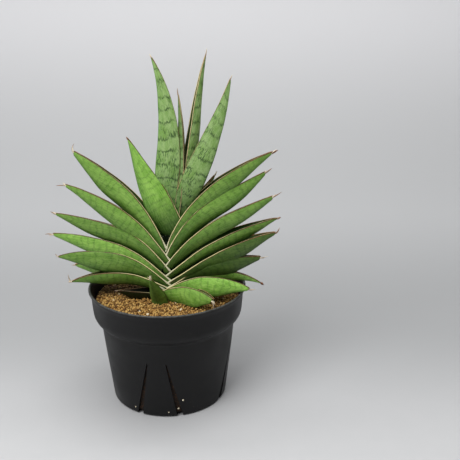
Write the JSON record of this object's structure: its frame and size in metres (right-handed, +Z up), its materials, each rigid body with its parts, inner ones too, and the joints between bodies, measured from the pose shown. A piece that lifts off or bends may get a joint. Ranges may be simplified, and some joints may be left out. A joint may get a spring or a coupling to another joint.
{
  "type": "potted snake plant",
  "caption": "Compact two-ranked snake plant with stiff boat-shaped leaves in a fan, standing in a round black nursery pot of granular soil.",
  "frame": {"origin": "centre of the pot's base, on its underside", "axes": "+Z up along the pot's axis; the fan of leaves lies along X; -Y is the front, which the picture shows"},
  "size_m": [0.1751, 0.12, 0.265],
  "materials": {
    "pot": "black moulded plastic with a faint sheen",
    "soil": "loose granules of fired clay, tan to ochre",
    "stem": "pale firm plant tissue",
    "leaf": "satin green leaf with fine lengthwise grain, reddish-brown and cream margins",
    "young_leaf": "satin grey-green leaf with broken dark cross-bands"
  },
  "bodies": {
    "root": {"pot": "pot", "soil": "soil", "crown_stem": "stem", "leaf_upright_2": "young_leaf", "leaf_upright_3": "young_leaf", "leaf_upright_1": "young_leaf", "leaf_upright_4": "young_leaf", "leaf_left_0": "leaf", "leaf_right_0": "leaf", "leaf_right_1": "leaf", "leaf_left_1": "leaf", "leaf_right_2": "leaf", "leaf_left_2": "leaf", "leaf_right_3": "leaf", "leaf_left_3": "leaf", "leaf_right_4": "leaf", "leaf_left_4": "leaf", "leaf_right_5": "leaf", "leaf_left_5": "leaf", "leaf_right_6": "leaf", "leaf_left_6": "leaf", "leaf_right_7": "leaf", "leaf_right_8": "leaf", "leaf_back_left": "leaf", "leaf_right_9": "leaf", "leaf_left_7": "leaf", "leaf_front": "leaf"}
  },
  "joints": []
}
